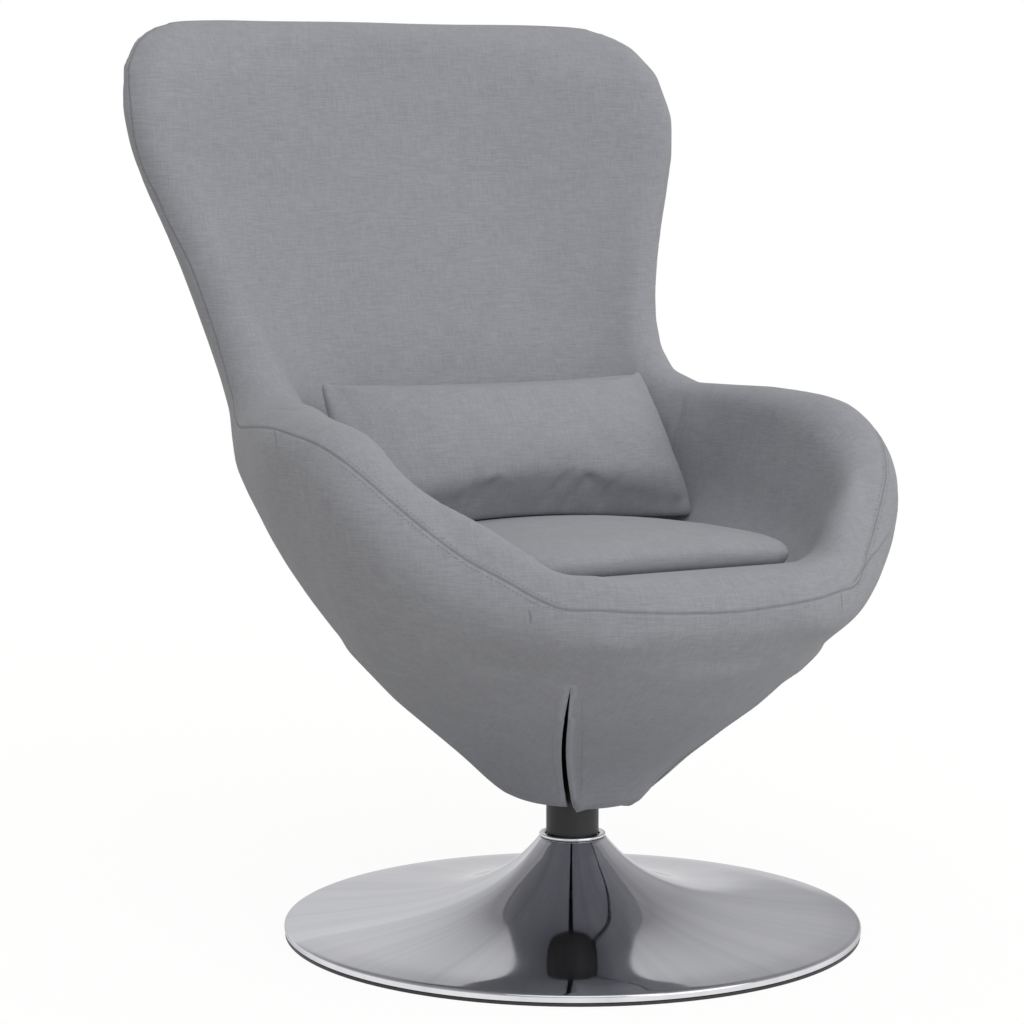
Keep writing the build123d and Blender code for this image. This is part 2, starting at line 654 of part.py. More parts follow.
# ================================================================ write every piece
def main():
    os.makedirs("parts", exist_ok=True)
    pieces = {
        "base_dish": base_dish(),
        "floor_ring": tube(RING_OUT_R, RING_IN_R, 0, RING_H),
        "ballast_disc": ballast_disc(),
        "foot_flange": foot_flange(),
        "flange_screws": flange_screws(),
        "column_tube": column_tube(),
        "column_sleeve": column_sleeve(),
        "collar_ring": collar_ring(),
        "upper_bush": bush(COLUMN_TOP - BUSH_L, COLUMN_TOP, COLUMN_TOP),
        "lower_bush": bush(LOWER_BUSH_Z, LOWER_BUSH_Z + LOWER_BUSH_L),
        "lower_race": race(LOWER_RACE_Z),
        "roller_cage": roller_cage(),
        "thrust_rollers": thrust_rollers(),
        "upper_race": race(UPPER_RACE_Z),
        "spindle": spindle(),
        "spindle_washer": spindle_washer(),
        "retaining_clip": retaining_clip(),
        "swivel_plate": swivel_plate(),
        "frame_rails": frame_rails(),
        "rail_caps": rail_caps(),
        "plate_bolts": plate_bolts(),
        "tee_nuts": tee_nuts(),
        "seat_board": seat_board(),
        "foam_shell": foam_shell(),
        "cover_skirt": cover_skirt(),
        "seat_pad": seat_pad(),
        "lumbar_pillow": lumbar_pillow(),
    }
    for name, shape in pieces.items():
        write(name, shape)


main()
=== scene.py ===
"""Swivel pod chair: a woven grey cover over a foam pod, loose pad and pillow, and a chromed trumpet foot."""
import math

import bmesh
import bpy
import numpy as np
from mathutils import Matrix, Vector, kdtree
from mathutils.bvhtree import BVHTree


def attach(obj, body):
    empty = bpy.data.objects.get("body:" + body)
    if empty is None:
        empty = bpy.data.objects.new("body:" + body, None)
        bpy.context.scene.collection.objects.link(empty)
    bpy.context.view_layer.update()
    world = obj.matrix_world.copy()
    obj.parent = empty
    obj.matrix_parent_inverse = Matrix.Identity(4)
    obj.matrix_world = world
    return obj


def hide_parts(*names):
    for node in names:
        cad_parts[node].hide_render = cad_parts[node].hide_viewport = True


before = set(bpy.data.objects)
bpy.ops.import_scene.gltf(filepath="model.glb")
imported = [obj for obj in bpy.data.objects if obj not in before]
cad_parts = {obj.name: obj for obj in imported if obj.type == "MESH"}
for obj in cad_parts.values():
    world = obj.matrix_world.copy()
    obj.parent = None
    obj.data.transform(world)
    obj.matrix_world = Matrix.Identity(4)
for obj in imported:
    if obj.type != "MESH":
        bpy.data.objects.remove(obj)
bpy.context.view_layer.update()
scene = bpy.context.scene

MM = 0.001


# ---------------------------------------------------------------- camera
CAMERA_PLACE = (-1.519, -2.571, 0.768)
CAMERA_BEARING, CAMERA_HEIGHT = -29.37, 6.34   # degrees from the chair's front, and down to the chair
CAMERA_LENS = 102.73


def direction_of(bearing, height):
    """A direction from the chair, by its bearing from the front and its height in degrees."""
    bearing, height = math.radians(bearing), math.radians(height)
    level = math.cos(height)
    return Vector((math.sin(bearing) * level, -math.cos(bearing) * level, math.sin(height)))


def place_camera():
    """Stands the camera where the photographer stood, a little to the chair's right and above the seat."""
    lens = bpy.data.cameras.new("studio_camera")
    lens.lens = CAMERA_LENS
    lens.sensor_width = 36.0
    camera = bpy.data.objects.new("studio_camera", lens)
    camera.location = CAMERA_PLACE
    camera.rotation_mode = "QUATERNION"
    camera.rotation_quaternion = (-direction_of(CAMERA_BEARING, CAMERA_HEIGHT)).to_track_quat("-Z", "Y")
    scene.collection.objects.link(camera)
    scene.camera = camera


# ---------------------------------------------------------------- materials
def shade(code):
    """Linear colour of an sRGB hex value."""
    parts = [int(code[i:i + 2], 16) / 255 for i in (1, 3, 5)]
    return (*[c / 12.92 if c <= 0.04045 else ((c + 0.055) / 1.055) ** 2.4 for c in parts], 1.0)


def node(tree, kind, inputs=None, **settings):
    """Adds a node with its settings and links; an input is a value, another node, or one of its outputs."""
    made = tree.nodes.new(kind)
    for name, value in settings.items():
        setattr(made, name, value)
    for name, value in (inputs or {}).items():
        if isinstance(value, bpy.types.Node):
            value = value.outputs[0]
        if isinstance(value, bpy.types.NodeSocket):
            tree.links.new(value, made.inputs[name])
        else:
            made.inputs[name].default_value = value
    return made


def number_math(tree, operation, *inputs):
    """What a sum of plain numbers gives."""
    return node(tree, "ShaderNodeMath", dict(enumerate(inputs)), operation=operation).outputs["Value"]


def vector_math(tree, operation, *inputs):
    """What a sum of vectors gives: a plain number for a length or a dot product, and a vector for the rest."""
    made = node(tree, "ShaderNodeVectorMath", dict(enumerate(inputs)), operation=operation)
    return made.outputs["Value" if operation in ("LENGTH", "DOT_PRODUCT") else "Vector"]


def mapped(tree, value, start, end, low=0.0, high=1.0, **settings):
    """A value that runs from start to end, brought to run from low to high."""
    return node(tree, "ShaderNodeMapRange", {0: value, 1: start, 2: end, 3: low, 4: high}, **settings)


def blend(tree, part, first, second):
    """The first colour where the part is 0, and the second where it is 1."""
    return node(tree, "ShaderNodeMix", {0: part, 6: first, 7: second}, data_type="RGBA").outputs[2]


def new_material(name, **surface):
    """An empty material with one Principled shader, whose even values are set on its own sockets."""
    made = bpy.data.materials.new(name)
    made.use_nodes = True
    tree = made.node_tree
    tree.nodes.clear()
    shader = node(tree, "ShaderNodeBsdfPrincipled", surface)
    node(tree, "ShaderNodeOutputMaterial", {"Surface": shader})
    return made, tree, shader


# real yarn is 0.7 mm thick and its slubs some 15 mm long; they are drawn 1.3 mm thick, which the picture can
# just show. Size in mm along X, Y and Z of the slubs that are thin along each of these
SLUBS = ((1.3, 14, 14), (14, 1.3, 14), (17, 17, 1.2))
LEVEL_SLUBS = 1.25    # how much more the level threads show than the upright ones
THREAD_REPEAT = 2.4   # mm, in place of the real 1.4 mm, which is finer than the picture
CLOUD_SIZE = 28       # mm
# an attribute, and how much of which colour shows at its full value: painted shade in the crease of a seam,
# and a painted highlight on the turned edges beside the slits
SEAM_SHADE_AND_EDGE_HIGHLIGHT = (("seam", 0.3, "#3C3D40"), ("edge", 0.28, "#B9BBC0"))


def woven_cloth(name, light, dark):
    """Linen-look upholstery, plain woven from slubbed melange polyester yarn: matt, with short pale and dark
    slubs along both threads, more of them level than upright, and faint larger clouds where the yarn's dye
    varies."""
    made, tree, shader = new_material(name, **{"Roughness": 0.92, "Specular IOR Level": 0.25,
                                               "Sheen Weight": 0.1, "Sheen Roughness": 0.6})
    place = node(tree, "ShaderNodeTexCoord").outputs
    squared = vector_math(tree, "MULTIPLY", place["Normal"], place["Normal"])
    fourth = vector_math(tree, "MULTIPLY", squared, squared)
    total = vector_math(tree, "DOT_PRODUCT", fourth, (1, 1, 1))
    # how squarely the cloth faces along each axis; threads that are thin along an axis show where it doesn't
    facing = vector_math(tree, "DIVIDE", fourth, total)
    showing = vector_math(tree, "SUBTRACT", (1, 1, 1), facing)
    slubs = []
    for sizes in SLUBS:
        spot = vector_math(tree, "MULTIPLY", place["Object"], [1 / (s * MM) for s in sizes])
        slubs.append(node(tree, "ShaderNodeTexNoise",
                          {"Vector": spot, "Scale": 1.0, "Detail": 2.0, "Roughness": 0.6}))
    level = number_math(tree, "MULTIPLY", slubs[2], LEVEL_SLUBS)
    yarns = node(tree, "ShaderNodeCombineXYZ", {0: slubs[0], 1: slubs[1], 2: level})
    streaks = vector_math(tree, "DOT_PRODUCT", yarns, showing)
    turns = vector_math(tree, "MULTIPLY", place["Object"], [math.tau / (THREAD_REPEAT * MM)] * 3)
    waves = vector_math(tree, "SINE", turns)
    grid = vector_math(tree, "DOT_PRODUCT", waves, showing)
    clouds = node(tree, "ShaderNodeTexNoise",
                  {"Vector": place["Object"], "Scale": 1 / (CLOUD_SIZE * MM), "Detail": 3.0})
    fine = number_math(tree, "MULTIPLY_ADD", grid, 0.012, streaks)
    tone = number_math(tree, "MULTIPLY_ADD", clouds, 0.3, fine)
    colour = blend(tree, mapped(tree, tone, 0.95, 1.55), shade(dark), shade(light))
    # painted shade darkens the seams' creases and a painted highlight lightens the slits' turned edges, by the
    # attributes the cover keeps
    for mark, strength, tint in SEAM_SHADE_AND_EDGE_HIGHLIGHT:
        depth = node(tree, "ShaderNodeAttribute", attribute_name=mark).outputs["Fac"]
        colour = blend(tree, number_math(tree, "MULTIPLY", depth, strength), colour, shade(tint))
    tree.links.new(colour, shader.inputs["Base Color"])
    height = number_math(tree, "MULTIPLY_ADD", grid, 0.12, streaks)
    bump = node(tree, "ShaderNodeBump", {"Height": height, "Strength": 0.3, "Distance": 0.35 * MM})
    tree.links.new(bump.outputs[0], shader.inputs["Normal"])
    return made


RING_GAP = 1.2     # mm between the drawn spinning rings; the real ones are 0.2 mm apart and wouldn't show
WIPED_SIZE = 60    # mm


def polished_chrome(name):
    """Bright nickel-chrome plate on spun and buffed steel: a mirror, with soft streaks from its middle to its
    edge where the buffing wheel crossed it, very fine rings left by the spinning, and a few duller wiped
    patches."""
    made, tree, shader = new_material(name, **{"Metallic": 1.0, "Specular Tint": shade("#CFCFD1")})
    place = node(tree, "ShaderNodeTexCoord").outputs["Object"]
    level = vector_math(tree, "MULTIPLY", place, (1, 1, 0))
    bearing = vector_math(tree, "NORMALIZE", level)
    radius = vector_math(tree, "LENGTH", level)
    streaks = node(tree, "ShaderNodeTexNoise",
                   {"Vector": bearing, "Scale": 7.0, "Detail": 5.0, "Roughness": 0.6})
    colour = blend(tree, mapped(tree, streaks, 0.3, 0.7), shade("#D4D5D9"), shade("#E6E6E9"))
    tree.links.new(colour, shader.inputs["Base Color"])
    along = number_math(tree, "MULTIPLY", radius, 1 / (RING_GAP * MM))
    rings = node(tree, "ShaderNodeTexNoise", {"W": along, "Scale": 1.0, "Detail": 3.0}, noise_dimensions="1D")
    wiped = node(tree, "ShaderNodeTexNoise",
                 {"Vector": place, "Scale": 1 / (WIPED_SIZE * MM), "Detail": 4.0})
    haze = number_math(tree, "MULTIPLY_ADD", wiped, 0.06, 0.02)
    dull = number_math(tree, "MULTIPLY_ADD", rings, 0.03, haze)
    tree.links.new(dull, shader.inputs["Roughness"])
    height = number_math(tree, "MULTIPLY_ADD", streaks, 4.0, rings)
    bump = node(tree, "ShaderNodeBump", {"Height": height, "Strength": 0.04, "Distance": 0.05 * MM})
    tree.links.new(bump.outputs[0], shader.inputs["Normal"])
    return made


GLOSS_DRIFT = 0.12   # how far the roughness of a grained finish goes up and down in all


def grained(name, base, grain, size_mm, roughness, metallic=0.0, depth_mm=0.03, stretch=(1, 1, 1)):
    """A surface with an even grain: its colour and gloss drift a little over size_mm, and it is bumped by
    depth_mm."""
    made, tree, shader = new_material(name, **{"Metallic": metallic})
    place = node(tree, "ShaderNodeTexCoord").outputs["Object"]
    scaled = vector_math(tree, "MULTIPLY", place, [1 / (size_mm * MM * s) for s in stretch])
    blots = node(tree, "ShaderNodeTexNoise", {"Vector": scaled, "Scale": 1.0, "Detail": 4.0})
    tree.links.new(blend(tree, blots, shade(base), shade(grain)), shader.inputs["Base Color"])
    gloss = number_math(tree, "MULTIPLY_ADD", blots, GLOSS_DRIFT, roughness - GLOSS_DRIFT / 2)
    tree.links.new(gloss, shader.inputs["Roughness"])
    bump = node(tree, "ShaderNodeBump", {"Height": blots, "Strength": 0.5, "Distance": depth_mm * MM})
    tree.links.new(bump.outputs[0], shader.inputs["Normal"])
    return made


# ---------------------------------------------------------------- mesh helpers
def applied(piece):
    """Gives a piece the mesh that its modifiers make of it."""
    made = bpy.data.meshes.new_from_object(piece.evaluated_get(bpy.context.evaluated_depsgraph_get()))
    piece.modifiers.clear()
    old, piece.data = piece.data, made
    bpy.data.meshes.remove(old)


def loose_object(bm, name):
    """A bmesh as a plain object, on its way to being a piece."""
    mesh = bpy.data.meshes.new(name)
    bm.to_mesh(mesh)
    bm.free()
    made = bpy.data.objects.new(name, mesh)
    scene.collection.objects.link(made)
    return made


def opened(piece):
    """A piece's mesh as a bmesh, to be worked on."""
    bm = bmesh.new()
    bm.from_mesh(piece.data)
    return bm


def put_back(bm, piece):
    """Gives a piece the bmesh that was worked on."""
    bm.to_mesh(piece.data)
    bm.free()


def finished(piece, material, body, slot, *solids):
    """Gives an object its finish and smooth shading and sets it on the body that it rides on; it may stand for
    CAD solids, which it hides.
    """
    piece.data.materials.clear()
    piece.data.materials.append(material)
    piece.data.shade_smooth()
    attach(piece, body)
    if solids:
        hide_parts(*solids)


def solid_of(*nodes):
    """A merged copy of CAD nodes as one bmesh."""
    bm = bmesh.new()
    for name in nodes:
        bm.from_mesh(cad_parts[name].data)
    bmesh.ops.remove_doubles(bm, verts=bm.verts, dist=0.01 * MM)
    return bm


def remeshed(piece, voxel_mm):
    """Covers a solid with even small squares."""
    skin = piece.modifiers.new("Skin", "REMESH")
    skin.mode = "VOXEL"
    skin.voxel_size = voxel_mm * MM
    applied(piece)


def without(piece, cutter):
    """Cuts one solid out of another."""
    cut = piece.modifiers.new("Cut", "BOOLEAN")
    cut.operation = "DIFFERENCE"
    cut.solver = "EXACT"
    cut.object = cutter
    applied(piece)
    mesh = cutter.data
    bpy.data.objects.remove(cutter)
    bpy.data.meshes.remove(mesh)


def relax(bm, times):
    """Draws every point half way towards its neighbours, a few times over."""
    for _ in range(times):
        bmesh.ops.smooth_vert(bm, verts=bm.verts, factor=0.5,
                              use_axis_x=True, use_axis_y=True, use_axis_z=True)


def points_of(mesh):
    """A mesh's points as rows of X, Y and Z in metres."""
    values = np.empty(len(mesh.vertices) * 3)
    mesh.vertices.foreach_get("co", values)
    return values.reshape(-1, 3)


def set_points(mesh, points):
    """Moves a mesh's points to new places."""
    mesh.vertices.foreach_set("co", points.ravel())
    mesh.update()


STUFFING_PRESSURE = 4.0
CLOTH_STIFFNESS = 15.0
CLOTH_FRAMES = 20
DRAWN_IN = 0.25   # how much of its way a point may go when the cloth would draw it in


def inflated(piece, reach_mm):
    """Stuffs a sewn shape: air pressure rounds it out, no point moves further than its reach, and where its
    edge would be drawn in, the edge seam holds most of that back."""
    before = points_of(piece.data)
    normals = np.empty(before.size)
    piece.data.vertices.foreach_get("normal", normals)
    cloth = piece.modifiers.new("Stuffing", "CLOTH")
    cloth.settings.use_pressure = True
    cloth.settings.uniform_pressure_force = STUFFING_PRESSURE
    cloth.settings.effector_weights.gravity = 0.0
    cloth.settings.tension_stiffness = CLOTH_STIFFNESS
    cloth.settings.compression_stiffness = CLOTH_STIFFNESS
    for moment in range(CLOTH_FRAMES):
        scene.frame_set(moment + 1)
    applied(piece)
    scene.frame_set(1)
    moved = points_of(piece.data) - before
    length = np.linalg.norm(moved, axis=1)
    capped = np.minimum(1.0, reach_mm * MM / np.maximum(length, 1e-9))
    capped *= np.where((moved * normals.reshape(-1, 3)).sum(axis=1) < 0, DRAWN_IN, 1.0)
    set_points(piece.data, before + moved * capped[:, None])


# ---------------------------------------------------------------- sewn lines
SEAM_STEP = 0.6     # mm from point to point along a seam
CREASE_STEP = 1.5   # along a soft crease of the pod
FOLD_STEP = 2.0     # along a wrinkle of the pillow
THREAD_STEP = 0.5   # along a row of stitches


def smooth_line(points, step_mm):
    """Points about step_mm apart on a smooth line through a few given ones, in metres."""
    rows = [Vector(p) * MM for p in points]
    rows = [rows[0] * 2 - rows[1], *rows, rows[-1] * 2 - rows[-2]]
    line = []
    for before, here, there, after in zip(rows, rows[1:], rows[2:], rows[3:]):
        count = max(1, round((there - here).length / (step_mm * MM)))
        for i in range(count):
            t = i / count
            straight = here * 2 + (there - before) * t
            bent = (before * 2 - here * 5 + there * 4 - after) * t * t
            line.append(0.5 * (straight + bent + (here * 3 - before - there * 3 + after) * t ** 3))
    line.append(rows[-2])
    return line


def other_side(points):
    """The same points on the other half of the chair."""
    return [(-x, y, z) for x, y, z in points]


BOTH_SIDES = (list, other_side)   # for a line as it is given, and for its mirror image


def even_row(line):
    """A line's points, each with full strength."""
    return [(p, 1.0) for p in line]


def fading_row(line):
    """A line's points, with a strength that fades towards both ends."""
    return [(p, math.sin(math.pi * (i + 0.5) / len(line)) ** 0.6) for i, p in enumerate(line)]


def laid_on(line, skin):
    """The line's points moved to the nearest place on a surface."""
    return [skin.find_nearest(p)[0] for p in line]


SEAM_REACHES = (11, 7.5, 5)   # mm beside a seam within which the skin is divided once, twice and three times
# where the cloth stands up beside a crease, how broadly, and where that ends, in half widths of the crease
RISE_AT, RISE_WIDTH, RISE_ENDS = 2.6, 1.6, 6


def pressed_in(bm, rows, depth_mm, half_mm, rise_mm, reaches=SEAM_REACHES, mark=None):
    """Sinks lines into a padded skin, with the cloth rising on both sides of each. The skin is divided finely
    near them first, so that each line is a real crease. An attribute named by the mark keeps how deep it is
    at every point, or how high where the line has no depth."""
    spots = [spot for row in rows for spot in row]
    finder = kdtree.KDTree(len(spots))
    for i, (place, _) in enumerate(spots):
        finder.insert(place, i)
    finder.balance()
    for reach in reaches:
        close = {v for v in bm.verts if finder.find(v.co)[2] < reach * MM}
        edges = [e for e in bm.edges if e.verts[0] in close and e.verts[1] in close]
        bmesh.ops.subdivide_edges(bm, edges=edges, cuts=1, use_grid_fill=True)
        bmesh.ops.triangulate(bm, faces=[f for f in bm.faces if len(f.verts) > 3])
    bm.normal_update()
    layer = mark and (bm.verts.layers.float.get(mark) or bm.verts.layers.float.new(mark))
    moves = []
    for v in bm.verts:
        _, i, off = finder.find(v.co)
        off, strength = off / MM, spots[i][1]
        if off > half_mm * RISE_ENDS:
            continue
        crease = math.exp(-((off / half_mm) ** 2))
        rise = math.exp(-(((off - RISE_AT * half_mm) / (RISE_WIDTH * half_mm)) ** 2))
        moves.append((v, v.normal * (rise_mm * rise - depth_mm * crease) * strength * MM))
        if layer:
            v[layer] = max(v[layer], (crease if depth_mm else rise) * strength)
    for v, move in moves:
        v.co += move


def beside(line, skin, off_mm):
    """A row on a surface that keeps its distance to the side of another one."""
    row = []
    for before, here, after in zip(line, line[1:], line[2:]):
        place, normal = skin.find_nearest(here)[:2]
        row.append(skin.find_nearest(place + normal.cross(after - before).normalized() * off_mm * MM)[0])
    return row


STITCH = (1.35, 0.34, 0.3)   # half the length, width and height of a stitch, mm
STITCH_EVERY, STITCH_SPAN = 9, 5   # row points from stitch to stitch, and under one stitch
STITCH_LIFT = 0.05   # mm that a stitch's middle stands off the cloth


def stitching(rows, skin, thread):
    """Lays short grains of thread end to end along sewn rows."""
    bm = bmesh.new()
    for row in rows:
        for here, there in zip(row[::STITCH_EVERY], row[STITCH_SPAN::STITCH_EVERY]):
            place, normal = skin.find_nearest((here + there) / 2)[:2]
            side = normal.cross(there - here).normalized()
            turn = Matrix((side.cross(normal), side, normal)).transposed().to_4x4()
            size = Matrix.Diagonal((*[s * MM for s in STITCH], 1))
            lift = Matrix.Translation(place + normal * STITCH_LIFT * MM)
            bmesh.ops.create_uvsphere(bm, u_segments=6, v_segments=4, radius=1.0, matrix=lift @ turn @ size)
    bmesh.ops.recalc_face_normals(bm, faces=bm.faces)
    finished(loose_object(bm, "cover_stitching"), thread, "seat", "grey_fabric")


# ---------------------------------------------------------------- pod
# level rings of the loose lower cover and of the hollow in it: height, Y of the middle, radius
SKIRT_RINGS = [
    (136, -1, 31), (137, -1, 44), (141, -2, 60), (150, -3, 79), (163, -3, 95), (188, -4, 122),
    (251, -16, 195), (300, -22, 242), (309, -24, 249),
]
CAVITY_RINGS = [
    (100, 0, 29.5), (140, 0, 29.5), (141.5, -1, 42), (145, -2, 57), (153.5, -3, 75.5), (166, -3, 91),
    (190.5, -4, 118), (253, -16, 190.5), (287.5, -20, 226), (300.5, -20, 226),
]
RING_SIDES = 128
SLIT_BEARING = 31.1                 # degrees from the chair's front
SLIT_TOP, SLIT_END = 297.0, 120.0   # heights; the blade ends below the hem
SLIT_WIDTH, SLIT_SPREAD = 4.6, 2.4  # mm near the top, and how much more at the hem
SLIT_BOW = 7.5                      # mm
SLIT_REACH = (-0.33, -0.01)         # Y of the blade's ends, metres
# the slit's own line, whose edges are turned over, and the rows of stitches on both sides of it
SLIT_LINE = [(133, -221, 297), (116, -184, 259), (86, -129, 211), (56, -85, 167), (46, -68, 146)]
SLIT_ROWS = [
    [(136, -200, 283), (95, -122, 211), (53, -66, 153)],
    [(116, -214, 283), (71, -139, 211), (42, -90, 160)],
]

# the seam that runs round the pod's rolled edge, from the front lip over the arm and the wing to the crest
RIM_SEAM = [
    (0, -304, 371), (51, -303, 373), (101, -295, 376), (136, -281, 379), (165, -265, 380),
    (185, -248, 389), (207, -226, 405), (233, -201, 423), (254, -182, 442), (270, -166, 458),
    (286, -148, 476), (301, -125, 496), (313, -97, 513), (322, -61, 525), (330, -20, 532),
    (331, 14, 535), (328, 40, 534), (319, 89, 530), (300, 160, 524), (284, 205, 524),
    (277, 232, 534), (272, 253, 556), (271, 270, 587), (275, 283, 618), (282, 294, 649),
    (292, 304, 683), (301, 313, 707), (310, 323, 731), (319, 331, 760), (327, 340, 783),
    (336, 347, 818), (339, 352, 850), (334, 372, 890), (312, 395, 925), (265, 415, 950),
    (150, 428, 953), (0, 432, 953),
]
ARM_STRETCH = slice(4, 13)   # its points along the arm
# short joins of the cover's panels at the lip's corners and the waist, and the seam inside the left arm
SIDE_SEAMS = [
    [(136, -280, 382), (135, -283, 371), (136, -284, 359)],
    [(-193, -246, 378), (-192, -247, 372), (-192, -246, 366)],
    [(330, 14, 535), (336, -2, 525), (338, -8, 516)],
    [(-330, 14, 535), (-336, -2, 525), (-338, -8, 516)],
    [(152, -272, 381), (215, -223, 401), (233, -209, 405), (268, -182, 419), (282, -169, 433)],
]
# soft creases where the arms turn up into the back
WAIST_CREASES = [
    [(-295, 128, 544), (-300, 54, 550), (-293, 11, 550)],
    [(228, 145, 538), (222, 145, 518), (216, 152, 493)],
]


def ring_stack(rings):
    """A closed round solid through level rings, each with its height, the Y of its middle and its radius."""
    bm = bmesh.new()
    edges = []
    for height, middle, radius in rings:
        place = Matrix.Translation(Vector((0, middle, height)) * MM)
        made = bmesh.ops.create_circle(bm, segments=RING_SIDES, radius=radius * MM, matrix=place)["verts"]
        loop = {e for v in made for e in v.link_edges}
        if edges:
            bmesh.ops.bridge_loops(bm, edges=list(loop) + edges[-1])
        edges.append(list(loop))
    for loop in (edges[0], edges[-1]):
        bmesh.ops.contextual_create(bm, geom=loop)
    bmesh.ops.recalc_face_normals(bm, faces=bm.faces)
    return bm


def slit_blade(side):
    """A thin upright blade that opens one front slit: pointed at its top, wider below, and bowed sideways."""
    bm = bmesh.new()
    low, high = SLIT_END * MM, SLIT_TOP * MM
    near, far = SLIT_REACH
    bmesh.ops.create_cube(bm, size=1.0)
    upright = [e for e in bm.edges if abs(e.verts[0].co.z - e.verts[1].co.z) > 0.5]
    bmesh.ops.subdivide_edges(bm, edges=upright, cuts=13)
    for v in bm.verts:
        t = 0.5 - v.co.z   # 0 at the top, 1 below the hem
        width = (SLIT_WIDTH + SLIT_SPREAD * t * t) * MM * min(1.0, 0.02 + (t * 4.0) ** 0.7)
        bow = SLIT_BOW * MM * math.sin(math.pi * min(1.0, t * 1.02)) ** 1.2
        depth = (near + far) / 2 + v.co.y * (far - near)
        v.co = Vector((side * bow + v.co.x * width, depth, high + (low - high) * t))
    turn = Matrix.Rotation(side * math.radians(SLIT_BEARING), 4, "Z")
    bmesh.ops.transform(bm, matrix=turn, verts=bm.verts)
    bmesh.ops.recalc_face_normals(bm, faces=bm.faces)
    return bm


def ramp(x, start, end):
    """0 before the start, 1 past the end, and smooth between them."""
    x = np.clip((x - start) / (end - start), 0.0, 1.0)
    return x * x * (3 - 2 * x)


def hill(x, middle, half):
    """1 at the middle, and fading to nothing on both sides."""
    return np.exp(-(((x - middle) / half) ** 2))


def settled(piece):
    """Moves the cover by some millimetres to where its cloth hangs and its foam has set. Heights are in
    millimetres, and bearings in degrees from the front, more towards the chair's left."""
    points = points_of(piece.data)
    x, y, z = (points / MM).T
    y = y + 8   # counted from the bag's middle
    bearing = np.degrees(np.arctan2(x, -y))
    turned = np.abs(bearing)
    away = np.maximum(np.hypot(x, y), 1.0)
    # the bag's lower half waves a little and is slimmer, and so is the pod's left side just above it
    wave = 1.6 * np.sin(np.radians(bearing * 7 + 40)) * hill(z, 200, 45)
    slim = 3.0 * hill(z, 195, 42) + 3.5 * hill(z, 325, 24) * ramp(bearing, 0, 40)
    # the panel beside the slit on the chair's left is drawn in just under the slit's top
    drawn = 6 * hill(bearing, 45, 11) * ramp(z, 285, 276) * ramp(z, 190, 265)
    # the flap between the slits falls lower and stands out, and its corners dip; the hem round the column
    # stays where it is
    free = ramp(away, 40, 64)
    flap = ramp(turned, 34, 31) * ramp(z, 172, 142) * free
    corner = hill(turned, 30, 5.5) * ramp(z, 170, 142) * free
    # the crest sits a little higher on the chair's left
    crest = ramp(z, 800, 930) * (1.6 + 3.4 * x / 280 * ramp(np.abs(x), 0, 150))
    # the arms' rolled edges stand fuller on their inside where they come down to the lip, and dip at the
    # lip's corners
    roll = 13 * hill(turned, 49, 10) - 7 * hill(turned, 33, 4.5)
    roll *= ramp(away, 302, 278) * ramp(z, 398, 423) * ramp(z, 560, 500)
    out = wave - drawn - slim + 2.0 * flap
    points[:, 0] += out * x / away * MM
    points[:, 1] += out * y / away * MM
    points[:, 2] += (crest + roll - 4.5 * flap - 3.0 * corner) * MM
    set_points(piece.data, points)


POD_SQUARES = 6.0       # mm, of the remeshed skins
CUSHION_SQUARES = 4.5
SHARP_EDGE = math.radians(50)
STITCHES_OFF = 4.2      # mm from a seam to the stitches beside it


def pod_cover(cloth, thread):
    """The pod's padded cover, with the loose bag below it that is hollow and slit twice in front."""
    bm = solid_of("foam_shell")
    skirt = loose_object(ring_stack(SKIRT_RINGS), "skirt")
    bm.from_mesh(skirt.data)
    bpy.data.meshes.remove(skirt.data)
    pod = loose_object(bm, "pod_cover")
    remeshed(pod, POD_SQUARES)
    bm = opened(pod)
    relax(bm, times=4)
    put_back(bm, pod)
    for cutter in (ring_stack(CAVITY_RINGS), slit_blade(1), slit_blade(-1)):
        without(pod, loose_object(cutter, "cutter"))
    settled(pod)

    bm = opened(pod)
    bmesh.ops.triangulate(bm, faces=bm.faces)
    skin = BVHTree.FromBMesh(bm)
    rim = laid_on(smooth_line(other_side(reversed(RIM_SEAM[1:])) + RIM_SEAM, SEAM_STEP), skin)
    joins = [laid_on(smooth_line(line, SEAM_STEP), skin) for line in SIDE_SEAMS]
    slits = [laid_on(smooth_line(turn(SLIT_LINE), SEAM_STEP), skin) for turn in BOTH_SIDES]
    creases = [laid_on(smooth_line(line, CREASE_STEP), skin) for line in WAIST_CREASES]
    # the 'seam' attribute kept here darkens the cloth as painted shade in each seam's crease
    pressed_in(bm, [even_row(rim)], depth_mm=0.8, half_mm=1.3, rise_mm=0.25, mark="seam")
    pressed_in(bm, [fading_row(line) for line in joins], depth_mm=0.5, half_mm=1.2, rise_mm=0.2, mark="seam")
    # the 'edge' attribute kept here lightens the cloth as a painted highlight on the slits' raised, turned
    # edges
    pressed_in(bm, [even_row(line) for line in slits], depth_mm=0.0, half_mm=1.5, rise_mm=0.5,
               reaches=(13, 9, 6), mark="edge")
    pressed_in(bm, [fading_row(line) for line in creases], depth_mm=1.4, half_mm=4.5, rise_mm=0.5,
               reaches=(14,))
    bm.normal_update()

    skin = BVHTree.FromBMesh(bm)
    arms = [smooth_line(turn(RIM_SEAM[ARM_STRETCH]), THREAD_STEP) for turn in BOTH_SIDES]
    rows = [beside(laid_on(line, skin), skin, off) for line in arms for off in (STITCHES_OFF, -STITCHES_OFF)]
    rows += [laid_on(smooth_line(turn(line), THREAD_STEP), skin) for line in SLIT_ROWS for turn in BOTH_SIDES]
    put_back(bm, pod)
    finished(pod, cloth, "seat", "grey_fabric", "foam_shell", "cover_skirt")
    pod.data.set_sharp_from_angle(angle=SHARP_EDGE)
    stitching(rows, skin, thread)
    return pod


